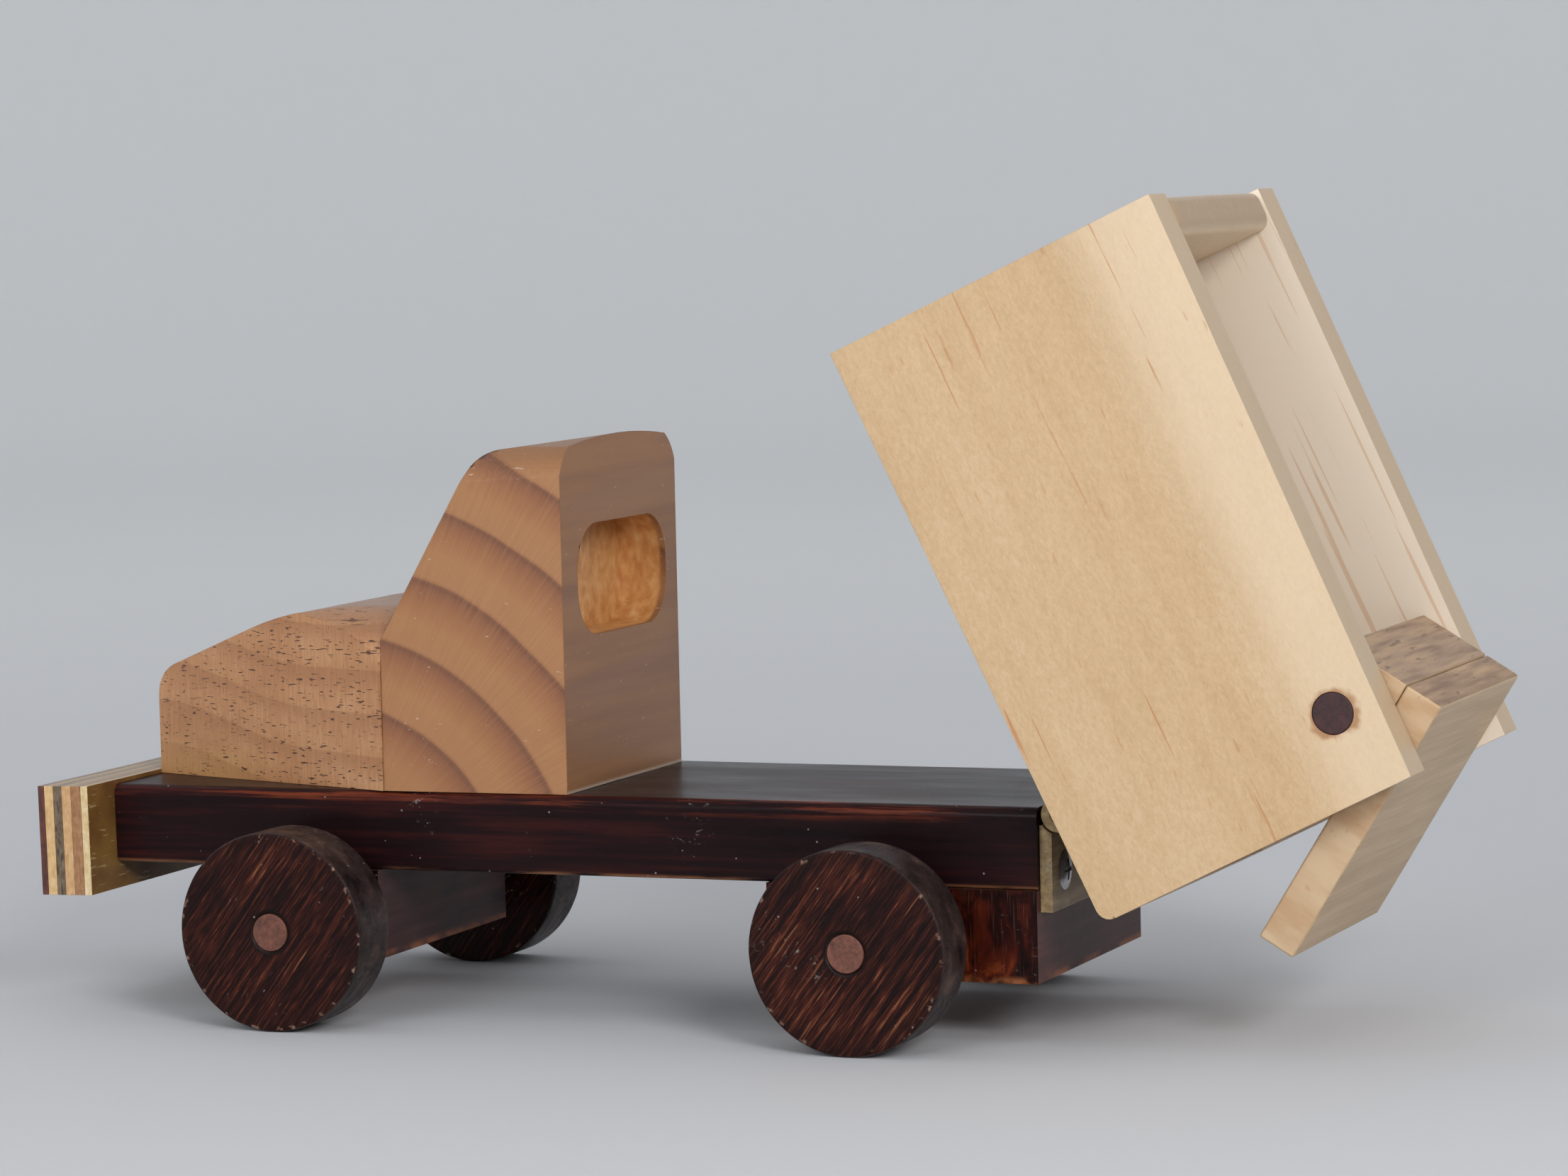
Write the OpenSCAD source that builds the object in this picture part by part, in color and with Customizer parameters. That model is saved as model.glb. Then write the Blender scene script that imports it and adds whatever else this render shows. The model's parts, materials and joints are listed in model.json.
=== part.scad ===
// Handmade wooden tipper truck, shown with its bed tipped and its tailgate hanging open.
// Every module is drawn in the chassis frame: X forward from the chassis rear face,
// Y to the truck's left, Z up from the chassis underside. on_ground() moves it from
// there to the part's own frame, whose origin is on the ground at the middle of the
// whole outline.

/* [Chassis] */
// Length of the chassis board
chassis_len = 250; // [240:1:270]
// Width of the chassis board
chassis_w = 79; // [77:1:80]
// Thickness of the chassis board
chassis_t = 20; // [18:0.5:22]
// Radius of the worn long edges on the deck
deck_edge_r = 2.6; // [1:0.2:4]
// Radius of the worn long edges underneath
belly_edge_r = 1.2; // [0.5:0.1:2]

/* [Bumper] */
// Length of the laminated bumper across the truck
bumper_w = 107; // [90:1:112]
// Height of the bumper
bumper_h = 28; // [24:0.2:32]
// How far the bumper stands above the deck
bumper_rise = 1.1; // [0:0.1:5]
// Forward lean of the bumper in degrees
bumper_lean = 1; // [0:0.5:5]

/* [Bonnet] */
// Height of the bonnet ridge above the deck, at the cab
bonnet_h = 45.5; // [40:0.5:50]
// Width of the bonnet where it meets the cab
bonnet_rear_w = 76; // [60:1:76]
// Width of the bonnet at its nose
bonnet_nose_w = 25; // [16:1:50]
// Downward slope of the bonnet towards the nose in degrees
bonnet_slope = 21; // [15:1:24]

/* [Cab] */
// Length of the cab block along the truck
cab_len = 50; // [44:1:52]
// Width of the cab block at the windscreen
cab_front_w = 75; // [70:1:76]
// Width of the cab block at its rear face
cab_rear_w = 73; // [66:0.5:75]
// Height of the cab above the deck at its rear face
cab_h = 88; // [80:0.5:92]
// Height of the upright front face, below the windscreen
cab_front_h = 37.8; // [34:0.2:42]
// Backward lean of the windscreen in degrees
windscreen_lean = 30; // [22:1:32]
// Radius between the roof and the windscreen
brow_r = 9; // [4:1:12]
// Width of the window recess in the rear face
window_w = 56; // [40:1:58]
// Height of the window recess
window_h = 28; // [20:1:30]
// Depth of the window recess
window_depth = 12; // [8:1:18]

/* [Wheels and axles] */
// Outside diameter of the wheels
wheel_d = 50; // [46:1:54]
// Thickness of the wheels
wheel_t = 17; // [14:0.5:19]
// Distance between the outer faces of a pair of wheels
track_w = 135; // [126:1:138]
// Diameter of the axle dowels
axle_d = 9.5; // [8:0.5:12]
// Distance from the chassis rear to the rear axle
rear_axle_x = 39; // [35:1:45]
// Distance from the chassis rear to the front axle
front_axle_x = 192; // [188:1:199]
// Depth of the axle centres below the chassis
axle_drop = 12.5; // [12:0.1:13]
// Height of the axle blocks
block_h = 22.6; // [22:0.2:24]
// Length of the rear axle block along the truck
rear_block_len = 70; // [60:1:72]
// Length of the front axle block along the truck
front_block_len = 34; // [30:1:48]

/* [Bed] */
// Outside length of the tipping bed
bed_len = 150.5; // [140:0.5:153]
// Outside width of the bed
bed_w = 101; // [101:1:104]
// Height of the bed at its tailgate end
bed_rear_h = 84; // [80:0.5:88]
// Height of the bed at its headboard end
bed_front_h = 88.4; // [84:0.2:92]
// Thickness of the two side panels
side_t = 12.5; // [10:0.5:12.5]
// Thickness of the bed floor
floor_t = 14.5; // [13:0.5:15]
// Thickness of the headboard
headboard_t = 10; // [8:0.5:12]
// Angle of the tipped bed in degrees
tip_angle = 64; // [30:1:64]

/* [Tailgate] */
// Thickness of the tailgate plate
plate_t = 9.7; // [8:0.1:10]
// Depth of the pivot bar behind the plate
bar_depth = 18.6; // [16:0.2:19]
// Height of the pivot bar
bar_h = 24.5; // [22:0.5:26]
// Diameter of the pivot rod
rod_d = 10; // [8:0.5:11]
// Distance from the rear end of the bed to the rod
rod_inset = 21; // [21:0.2:24]
// Height of the rod above the underside of the bed
rod_rise = 73.6; // [70:0.2:75]

/* [Hinge] */
// Radius of the wooden hinge barrel
barrel_r = 4.3; // [4:0.1:4.6]
// Thickness of the hinge leaves
leaf_t = 3.2; // [3:0.1:4]
// Length of a leaf from the hinge axis to its free edge
leaf_len = 23.7; // [22:0.1:25]
// Diameter of the hinge pin
hinge_pin_d = 4; // [3:0.5:5]
// Diameter of the screw heads
screw_head_d = 9.9; // [8:0.1:10.5]

/* [Hidden] */
$fn = 64;

// Clearances
running_gap = 0.1;      // a turning dowel in its bore, on the radius
move_gap = 0.3;         // between parts that move past each other
cut = 1;                // how far a cutter runs past the face it cuts

// Chassis and what stands on it
deck_z = chassis_t;
cab_rear_x = 123.3;
cab_front_x = cab_rear_x + cab_len;
house_y = 1.5;                                  // bonnet and cab sit a little left of centre
strip_ts = [1.8, 2.6, 2.4, 2.7, 2.8, 2.1];      // from the front strip to the rear one
strip_colours = ["#5a3026", "#c9a06c", "#6b5644", "#c79a62", "#a8774c", "#d8bd8e"];

// Bonnet outline
ridge_z = deck_z + bonnet_h;
crown_r = 95;                                   // arc between the flat top and the slope
nose_r = 9;                                     // round at the top of the nose
ridge_front_x = chassis_len - 67;               // the flat top ends here
slope_start_x = ridge_front_x + crown_r * sin(bonnet_slope);
slope_start_z = ridge_z - crown_r * (1 - cos(bonnet_slope));
nose_x = chassis_len - nose_r;
nose_z = slope_start_z - nose_r * cos(bonnet_slope)
    - (nose_x + nose_r * sin(bonnet_slope) - slope_start_x) * tan(bonnet_slope);
bonnet_shoulder_r = 16;

// Cab outline
roof_z = deck_z + cab_h;
screen_z = deck_z + cab_front_h;
roof_fall = 3;                                  // the roof is this much lower at the front
brow_z = roof_z - roof_fall;
brow_x = cab_front_x - (brow_z - screen_z) * tan(windscreen_lean);
roof_slope = atan(roof_fall / (brow_x - cab_rear_x));
brow_turn = 90 - windscreen_lean - roof_slope;
brow_start_x = brow_x - brow_r * tan(brow_turn / 2) * cos(roof_slope);
brow_start_z = brow_z + brow_r * tan(brow_turn / 2) * sin(roof_slope);
roof_crown_r = 260;
cab_shoulder_r = 14;
window_z = deck_z + 38.2;
window_y = -1.1;
window_corner_r = 12;

// Axles
ground_z = -axle_drop - wheel_d / 2;
front_block_w = 76;
front_block_y = 2.5;                            // this block sits a little left of centre
rear_block_w = 80;

// Hinge: both leaves are drawn with the bed down
hinge_x = -4.8;
hinge_z = 18.2;
hinge_w = 75.4;
knuckles = 5;
knuckle_w = hinge_w / knuckles;
knuckle_gap = 0.3;
cove_r = barrel_r + 0.45;
screw_d = 4.8;
screw_len = 16;
screw_offset_y = 27.8;
screw_reach = 14.4;                             // from the hinge axis to a screw
head_rise = 0.9;
recess_w = 1.1;
recess_len = 5.2;
recess_depth = 1.6;

// Bed, drawn level and then tipped about the hinge axis
bed_gap = 1.2;          // under the level bed, at the hinge
bed_z = deck_z + bed_gap;
bed_rear_x = hinge_x - 28.2;
bed_front_x = bed_rear_x + bed_len;
headboard_lean = 1.5;
inner_w = bed_w - 2 * side_t;
rod_x = bed_rear_x + rod_inset;
rod_z = bed_z + rod_rise;

// Tailgate, drawn shut and then swung about its rod
gate_w = inner_w - 1;
plate_h = rod_rise + bar_h / 2 - floor_t - 2 * move_gap;
plate_x = rod_x - bar_depth / 2 - plate_t;
plate_volume = plate_h * plate_t * gate_w;
bar_volume = (bar_h * bar_depth - PI * pow(rod_d / 2 + running_gap, 2)) * gate_w;
gate_back = plate_volume * (bar_depth + plate_t) / 2 / (plate_volume + bar_volume);
gate_down = plate_volume * (plate_h - bar_h) / 2 / (plate_volume + bar_volume);
// The gate hangs with its centre of mass straight below the rod
hang_angle = atan(gate_back / gate_down);

// Rod position once the bed is tipped, and the rearmost corner of the hanging gate
rod_dx = rod_x - hinge_x;
rod_dz = rod_z - hinge_z;
tipped_rod_x = hinge_x + rod_dx * cos(tip_angle) - rod_dz * sin(tip_angle);
gate_corner_x = tipped_rod_x
    - (bar_depth / 2 + plate_t) * cos(hang_angle) - bar_h / 2 * sin(hang_angle);
bumper_t = strip_ts[0] + strip_ts[1] + strip_ts[2] + strip_ts[3] + strip_ts[4] + strip_ts[5];
bumper_front_x = chassis_len + bumper_t * cos(bumper_lean) + bumper_rise * sin(bumper_lean);
middle_x = (gate_corner_x + bumper_front_x) / 2;

// ---- placing ----

module on_ground() {
    translate([-middle_x, 0, -ground_z]) children();
}

// Turns the level bed up about the hinge axis
module tipped() {
    on_ground()
        translate([hinge_x, 0, hinge_z]) rotate([0, -tip_angle, 0])
            translate([-hinge_x, 0, -hinge_z]) children();
}

// Swings the shut tailgate to where it hangs under the tipped bed
module hanging() {
    tipped()
        translate([rod_x, 0, rod_z]) rotate([0, tip_angle - hang_angle, 0])
            translate([-rod_x, 0, -rod_z]) children();
}

// Extrudes an outline drawn in X and Z across the truck, centred
module across(width) {
    translate([0, width / 2, 0]) rotate([90, 0, 0]) linear_extrude(width) children();
}

// Extrudes an outline drawn in Y and Z along the truck, from x
module along(x, length) {
    translate([x, 0, 0]) rotate([90, 0, 90]) linear_extrude(length) children();
}

module rod_across(d, length) {
    rotate([90, 0, 0]) cylinder(d = d, h = length, center = true);
}

// A rectangle with its four corners rounded, centred
module rounded_rect(w, h, r) {
    square([w - 2 * r, h], center = true);
    square([w, h - 2 * r], center = true);
    for (sx = [-1, 1], sy = [-1, 1])
        translate([sx * (w / 2 - r), sy * (h / 2 - r)]) circle(r);
}

// ---- chassis ----

module chassis_section() {
    half_w = chassis_w / 2;
    translate([-half_w + deck_edge_r, 0]) square([chassis_w - 2 * deck_edge_r, chassis_t]);
    translate([-half_w, belly_edge_r])
        square([chassis_w, chassis_t - belly_edge_r - deck_edge_r]);
    for (side = [-1, 1]) {
        translate([side * (half_w - deck_edge_r), chassis_t - deck_edge_r])
            circle(deck_edge_r);
        translate([side * (half_w - belly_edge_r), belly_edge_r]) circle(belly_edge_r);
    }
}

module leaning() {
    translate([chassis_len, 0, deck_z]) rotate([0, bumper_lean, 0]) children();
}

module screw_holes(x_from, x_to) {
    for (side = [-1, 1])
        translate([x_from, side * screw_offset_y, hinge_z - screw_reach])
            rotate([0, 90, 0]) cylinder(d = screw_d, h = x_to - x_from);
}

module chassis() {
    color("#3a1512") on_ground() difference() {
        along(0, chassis_len + cut) chassis_section();
        leaning() translate([0, -chassis_w, -2 * chassis_t])
            cube([4 * cut, 2 * chassis_w, 4 * chassis_t]);
        screw_holes(-cut, screw_len - leaf_t);
    }
}

// One glued strip of the bumper; strip 0 is the front one
module bumper_strip(i) {
    behind = [for (k = [i + 1:1:len(strip_ts) - 1]) strip_ts[k]];
    x = len(behind) == 0 ? 0 : behind * [for (b = behind) 1];
    color(strip_colours[i]) on_ground() leaning()
        translate([x, -bumper_w / 2, bumper_rise - bumper_h])
            cube([strip_ts[i], bumper_w, bumper_h]);
}

// ---- bonnet and cab ----

module bonnet() {
    crown = [for (a = [0:3:bonnet_slope])
        [slope_start_x - crown_r * (sin(bonnet_slope) - sin(a)),
         ridge_z - crown_r * (1 - cos(a))]];
    nose = [for (a = [bonnet_slope:(90 - bonnet_slope) / 6:90])
        [nose_x + nose_r * sin(a), nose_z + nose_r * cos(a)]];
    color("#b9854f") on_ground() translate([0, house_y, 0]) intersection() {
        across(chassis_w) polygon(concat(
            [[cab_front_x, deck_z], [cab_front_x, ridge_z]], crown, nose,
            [[chassis_len, deck_z]]));
        linear_extrude(ridge_z + cut) polygon([
            [cab_front_x, bonnet_rear_w / 2], [cab_front_x, -bonnet_rear_w / 2],
            [chassis_len, -bonnet_nose_w / 2], [chassis_len, bonnet_nose_w / 2]]);
        along(cab_front_x, chassis_len - cab_front_x)
            translate([0, ridge_z - bonnet_h])
                rounded_rect(bonnet_rear_w, 2 * bonnet_h, bonnet_shoulder_r);
    }
}

module cab_section() {
    intersection() {
        translate([0, roof_z - roof_crown_r]) circle(roof_crown_r, $fn = 180);
        translate([0, roof_z - cab_h])
            rounded_rect(cab_front_w, 2 * cab_h, cab_shoulder_r);
    }
}

module cab() {
    brow = [for (a = [roof_slope:brow_turn / 10:90 - windscreen_lean + 0.01])
        [brow_start_x + brow_r * (sin(a) - sin(roof_slope)),
         brow_start_z + brow_r * (cos(a) - cos(roof_slope))]];
    color("#b8814f") on_ground() translate([0, house_y, 0]) difference() {
        intersection() {
            across(chassis_w) polygon(concat(
                [[cab_rear_x, roof_z]], brow,
                [[cab_front_x, screen_z], [cab_front_x, deck_z], [cab_rear_x, deck_z]]));
            linear_extrude(roof_z + cut) polygon([
                [cab_rear_x, cab_rear_w / 2], [cab_rear_x, -cab_rear_w / 2],
                [cab_front_x, -cab_front_w / 2], [cab_front_x, cab_front_w / 2]]);
            along(cab_rear_x, cab_len) cab_section();
        }
        along(cab_rear_x - cut, window_depth + cut)
            translate([window_y, window_z + window_h / 2])
                rounded_rect(window_w, window_h, window_corner_r);
    }
}

// ---- axles and wheels ----

// An axle block under the chassis from rear_x, bored for its dowel
module axle_block(rear_x, length, width, axle_x) {
    difference() {
        translate([rear_x, -width / 2, -block_h]) cube([length, width, block_h]);
        translate([axle_x, 0, -axle_drop]) rod_across(axle_d + 2 * running_gap, width + cut);
    }
}

module front_axle_block() {
    color("#33150f") on_ground() translate([0, front_block_y, 0])
        axle_block(front_axle_x - front_block_len / 2, front_block_len, front_block_w,
            front_axle_x);
}

module rear_axle_block() {
    color("#3d1a14") on_ground()
        axle_block(0, rear_block_len, rear_block_w, rear_axle_x);
}

module axle(x) {
    color("#8a5a4a") on_ground()
        translate([x, 0, -axle_drop]) rod_across(axle_d, track_w);
}

module wheel(x, side) {
    color("#2e1710") on_ground()
        translate([x, side * (track_w - wheel_t) / 2, -axle_drop]) difference() {
            rod_across(wheel_d, wheel_t);
            rod_across(axle_d, wheel_t + cut);
        }
}

// ---- hinge ----

// Knuckles 0, 2 and 4 turn with the bed; 1 and 3 stay on the chassis
module knuckle_slots(first) {
    for (k = [first:2:knuckles - 1])
        translate([0, -hinge_w / 2 + k * knuckle_w + knuckle_gap / 2, 0])
            slot_piece(knuckle_w - knuckle_gap) children();
}

// An outline in X and Z, extruded towards +Y from the origin
module slot_piece(width) {
    translate([0, width, 0]) rotate([90, 0, 0]) linear_extrude(width) children();
}

module barrel_outline() {
    translate([hinge_x, hinge_z]) circle(barrel_r);
}

module pin_bore(d) {
    translate([hinge_x, 0, hinge_z]) rod_across(d, hinge_w + 2 * cut);
}

module countersinks() {
    for (side = [-1, 1])
        translate([-leaf_t, side * screw_offset_y, hinge_z - screw_reach])
            rotate([0, 90, 0]) cylinder(d1 = screw_head_d, d2 = screw_d,
                h = (screw_head_d - screw_d) / 2);
}

module hinge_chassis_leaf() {
    color("#8d7a55") on_ground() difference() {
        union() {
            difference() {
                across(hinge_w) translate([-leaf_t, hinge_z - leaf_len])
                    square([leaf_t, leaf_len - barrel_r * 0.6]);
                across(hinge_w + cut) translate([hinge_x, hinge_z]) circle(cove_r);
            }
            knuckle_slots(1) {
                barrel_outline();
                translate([-leaf_t, hinge_z - leaf_len]) square([leaf_t, leaf_len]);
            }
        }
        pin_bore(hinge_pin_d);
        screw_holes(-leaf_t - cut, cut);
        countersinks();
    }
}

// The leaf under the bed is drawn level, reaching back from the barrel
module bed_leaf_outline(reach) {
    translate([hinge_x - leaf_len, bed_z - leaf_t]) square([reach, leaf_t]);
}

// Swaps X and Z, which takes screw geometry from the chassis leaf to the leaf under the bed
module to_bed_leaf() {
    translate([hinge_x, 0, bed_z]) mirror([1, 0, -1])
        translate([0, 0, -hinge_z]) children();
}

module hinge_bed_leaf() {
    color("#85734f") tipped() difference() {
        union() {
            difference() {
                across(hinge_w) bed_leaf_outline(leaf_len - barrel_r * 0.6);
                across(hinge_w + cut) translate([hinge_x, hinge_z]) circle(cove_r);
            }
            knuckle_slots(0) {
                barrel_outline();
                bed_leaf_outline(leaf_len);
            }
        }
        pin_bore(hinge_pin_d + 2 * running_gap);
        to_bed_leaf() screw_holes(-leaf_t - cut, cut);
        to_bed_leaf() countersinks();
    }
}

module hinge_pin() {
    color("#6f5f40") on_ground()
        translate([hinge_x, 0, hinge_z]) rod_across(hinge_pin_d, hinge_w);
}

// Raised countersunk screw along +X with its head's rim in the plane x = 0
module screw() {
    cone_h = (screw_head_d - screw_d) / 2;
    dome_r = (pow(screw_head_d / 2, 2) + pow(head_rise, 2)) / (2 * head_rise);
    rotate([0, 90, 0]) difference() {
        union() {
            cylinder(d = screw_d, h = screw_len);
            cylinder(d1 = screw_head_d, d2 = screw_d, h = cone_h);
            intersection() {
                translate([0, 0, dome_r - head_rise]) sphere(dome_r);
                translate([0, 0, -head_rise]) cylinder(d = screw_head_d, h = head_rise);
            }
        }
        for (turn = [0, 90])
            rotate([0, 0, turn]) translate([-recess_len / 2, -recess_w / 2, -head_rise - cut])
                cube([recess_len, recess_w, recess_depth + cut]);
    }
}

module screw_pair() {
    for (side = [-1, 1])
        translate([-leaf_t, side * screw_offset_y, hinge_z - screw_reach]) screw();
}

module chassis_leaf_screws() {
    color("#9a9a9c") on_ground() screw_pair();
}

module bed_leaf_screws() {
    color("#9a9a9c") tipped() to_bed_leaf() screw_pair();
}

// ---- bed ----

module bed_floor() {
    color("#cfae7c") tipped() difference() {
        translate([bed_rear_x, -inner_w / 2, bed_z]) cube([bed_len, inner_w, floor_t]);
        // A cove clears the hinge barrel
        translate([hinge_x, 0, hinge_z]) rod_across(2 * cove_r, inner_w + 2 * cut);
        to_bed_leaf() screw_holes(-cut, screw_len - leaf_t);
    }
}

// Outline of a side panel in X and Z: the rear end is square and the front end leans back
module bed_outline() {
    polygon([
        [bed_rear_x, bed_z], [bed_front_x, bed_z],
        [bed_front_x - bed_front_h * tan(headboard_lean), bed_z + bed_front_h],
        [bed_rear_x, bed_z + bed_rear_h]]);
}

module bed_side(side) {
    color("#d9bd8f") tipped() difference() {
        translate([0, side * (bed_w - side_t) / 2, 0]) across(side_t) bed_outline();
        translate([rod_x, 0, rod_z]) rod_across(rod_d, bed_w + 2 * cut);
    }
}

module bed_headboard() {
    color("#d4b684") tipped() across(inner_w) intersection() {
        bed_outline();
        translate([bed_front_x, bed_z]) rotate(headboard_lean)
            translate([-headboard_t, 0]) square([headboard_t, 2 * bed_front_h]);
        translate([0, bed_z + floor_t]) square([bed_front_x, bed_front_h]);
    }
}

// ---- tailgate ----

module tailgate_plate() {
    color("#b9a27c") hanging()
        translate([plate_x, -gate_w / 2, rod_z + bar_h / 2 - plate_h])
            cube([plate_t, gate_w, plate_h]);
}

module tailgate_bar() {
    color("#b98a5c") hanging() translate([rod_x, 0, rod_z]) difference() {
        cube([bar_depth, gate_w, bar_h], center = true);
        rod_across(rod_d + 2 * running_gap, gate_w + cut);
    }
}

module tailgate_rod() {
    color("#3a1a16") tipped() translate([rod_x, 0, rod_z]) rod_across(rod_d, bed_w);
}

chassis();
bumper_strip(0);  // bumper_strip_1
bumper_strip(1);  // bumper_strip_2
bumper_strip(2);  // bumper_strip_3
bumper_strip(3);  // bumper_strip_4
bumper_strip(4);  // bumper_strip_5
bumper_strip(5);  // bumper_strip_6
bonnet();
cab();
front_axle_block();
rear_axle_block();
axle(front_axle_x);  // front_axle
axle(rear_axle_x);  // rear_axle
wheel(front_axle_x, 1);  // wheel_front_left
wheel(front_axle_x, -1);  // wheel_front_right
wheel(rear_axle_x, 1);  // wheel_rear_left
wheel(rear_axle_x, -1);  // wheel_rear_right
hinge_chassis_leaf();
hinge_bed_leaf();
hinge_pin();
chassis_leaf_screws();
bed_leaf_screws();
bed_floor();
bed_side(1);  // bed_side_left
bed_side(-1);  // bed_side_right
bed_headboard();
tailgate_plate();
tailgate_bar();
tailgate_rod();
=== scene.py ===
import json
import math

import bmesh
import bpy
from mathutils import Matrix, Vector, noise


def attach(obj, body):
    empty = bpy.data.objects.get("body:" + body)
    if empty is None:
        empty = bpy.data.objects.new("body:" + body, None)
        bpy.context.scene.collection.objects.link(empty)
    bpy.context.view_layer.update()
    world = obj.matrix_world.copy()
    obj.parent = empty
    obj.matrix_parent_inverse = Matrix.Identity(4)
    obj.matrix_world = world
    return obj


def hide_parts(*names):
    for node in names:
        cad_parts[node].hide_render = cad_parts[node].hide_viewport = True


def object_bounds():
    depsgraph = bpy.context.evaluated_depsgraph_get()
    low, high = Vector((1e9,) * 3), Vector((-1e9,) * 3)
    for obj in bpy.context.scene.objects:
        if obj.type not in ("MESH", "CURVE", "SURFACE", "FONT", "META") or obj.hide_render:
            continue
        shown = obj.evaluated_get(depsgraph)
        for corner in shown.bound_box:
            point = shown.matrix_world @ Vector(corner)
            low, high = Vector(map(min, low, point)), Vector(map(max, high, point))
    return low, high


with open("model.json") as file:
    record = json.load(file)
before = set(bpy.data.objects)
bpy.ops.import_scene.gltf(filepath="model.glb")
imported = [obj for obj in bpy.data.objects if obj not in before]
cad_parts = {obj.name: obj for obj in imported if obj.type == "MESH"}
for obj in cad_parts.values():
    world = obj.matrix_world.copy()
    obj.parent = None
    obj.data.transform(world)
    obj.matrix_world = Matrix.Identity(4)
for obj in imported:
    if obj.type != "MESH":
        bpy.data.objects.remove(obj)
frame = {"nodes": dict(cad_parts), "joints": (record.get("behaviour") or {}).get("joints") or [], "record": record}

cad_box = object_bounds()

MM = 0.001

# How the truck stands, in degrees
TIP_ANGLE = 64.0
TAILGATE_LEAN = 31.46

# The camera: degrees behind the truck's left side, degrees up, degrees of roll
VIEW_TURN = 21.81
VIEW_RISE = 4.665
VIEW_ROLL = -1.293
VIEW_DISTANCE = 1.33357
VIEW_LENS = 122.06
SENSOR_WIDTH = 36.0
# The point that the camera looks at, from the middle of the truck's base
VIEW_TARGET = Vector((-0.00307, 0.0, 0.10625))

joints = {joint["name"]: joint for joint in frame["joints"]}
body_of_node = {
    node: body
    for body, nodes in frame["record"]["behaviour"]["bodies"].items()
    for node in nodes
}


# ---------------------------------------------------------------- frames of the pieces

def turned_about(joint_name, degrees):
    """A frame at a joint's point, turned about the truck's width to lie along the piece."""
    place = Matrix.Translation(Vector(joints[joint_name]["pos_m"]))
    return place @ Matrix.Rotation(math.radians(degrees), 4, "Y")


UPRIGHT = Matrix.Identity(4)
BED = turned_about("bed_tip", -TIP_ANGLE)
TAILGATE = turned_about("tailgate_swing", -TAILGATE_LEAN)
FRONT_WHEELS = turned_about("front_axle_spin", 0)
REAR_WHEELS = turned_about("rear_axle_spin", 0)
WHEELS_MIDDLE = (FRONT_WHEELS.translation.x + REAR_WHEELS.translation.x) / 2
WHEELS_HALF = (FRONT_WHEELS.translation.x - REAR_WHEELS.translation.x) / 2
AXLE_HEIGHT = FRONT_WHEELS.translation.z
ROD_CENTRE = BED.inverted() @ Vector(joints["tailgate_swing"]["pos_m"])


def local_box(node, place):
    """Lowest and highest corners of a CAD node in the frame `place`."""
    back = place.inverted()
    points = [back @ v.co for v in frame["nodes"][node].data.vertices]
    low = Vector([min(p[i] for p in points) for i in range(3)])
    high = Vector([max(p[i] for p in points) for i in range(3)])
    return low, high


# ---------------------------------------------------------------- shapes

def solid_from(node, place):
    """The CAD node's solid in the frame `place`, with its flat faces whole again."""
    shape = bmesh.new()
    shape.from_mesh(frame["nodes"][node].data)
    bmesh.ops.transform(shape, matrix=place.inverted(), verts=shape.verts)
    bmesh.ops.remove_doubles(shape, verts=shape.verts, dist=0.002 * MM)
    bmesh.ops.dissolve_limit(
        shape, angle_limit=math.radians(0.2), verts=shape.verts, edges=shape.edges)
    return shape


def sharp_edges(shape, least=25.0):
    limit = math.radians(least)
    return [
        e for e in shape.edges
        if len(e.link_faces) == 2 and e.calc_face_angle(0) > limit
    ]


def round_edges(shape, edges, radius, segments=4):
    if edges:
        bmesh.ops.bevel(
            shape, geom=edges, offset=radius, offset_type="OFFSET", segments=segments,
            profile=0.5, affect="EDGES", clamp_overlap=True)


def along_axis(edge, axis):
    """True if the edge runs along the axis."""
    line = edge.verts[1].co - edge.verts[0].co
    return line.length > 0 and abs(line.normalized()[axis]) > 0.98


def cut_in_cells(shape, pitch):
    """Cuts the faces into cells, so that the surface can be worked by hand."""
    for axis in range(3):
        low = min(v.co[axis] for v in shape.verts)
        high = max(v.co[axis] for v in shape.verts)
        normal = Vector([1.0 if i == axis else 0.0 for i in range(3)])
        steps = int((high - low) / pitch)
        for k in range(1, steps + 1):
            at = normal * (low + (high - low) * k / (steps + 1))
            bmesh.ops.bisect_plane(
                shape, geom=shape.verts[:] + shape.edges[:] + shape.faces[:],
                dist=0.005 * MM, plane_co=at, plane_no=normal)


def sand_by_hand(shape, place, depth, wear):
    """Takes a little off the surface in slow waves, and more off the edges in places."""
    shape.normal_update()
    offsets = []
    for v in shape.verts:
        point = place @ v.co
        wave = 0.5 + 0.5 * noise.noise(point * 45.0)
        bend = 0.0
        for f in v.link_faces:
            bend = max(bend, v.normal.angle(f.normal, 0))
        edge = min(bend / math.radians(20), 1.0)
        nick = max(0.0, noise.noise(point * 210.0)) + 0.6 * max(0.0, noise.noise(point * 70.0))
        offsets.append(-v.normal * (depth * wave + wear * edge * nick))
    for v, offset in zip(shape.verts, offsets):
        v.co += offset


def piece_from(node, shape, place, material, suffix="wood"):
    """Turns a worked solid into the piece that stands for its CAD node."""
    bmesh.ops.recalc_face_normals(shape, faces=shape.faces)
    mesh = bpy.data.meshes.new(f"{node}_{suffix}")
    shape.to_mesh(mesh)
    shape.free()
    mesh.transform(place)
    mesh.polygons.foreach_set("use_smooth", [True] * len(mesh.polygons))
    mesh.materials.append(material)
    piece = bpy.data.objects.new(mesh.name, mesh)
    bpy.context.scene.collection.objects.link(piece)
    normals = piece.modifiers.new("flat faces stay flat", "WEIGHTED_NORMAL")
    normals.weight = 100
    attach(piece, body_of_node[node])
    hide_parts(node)
    return piece


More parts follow.
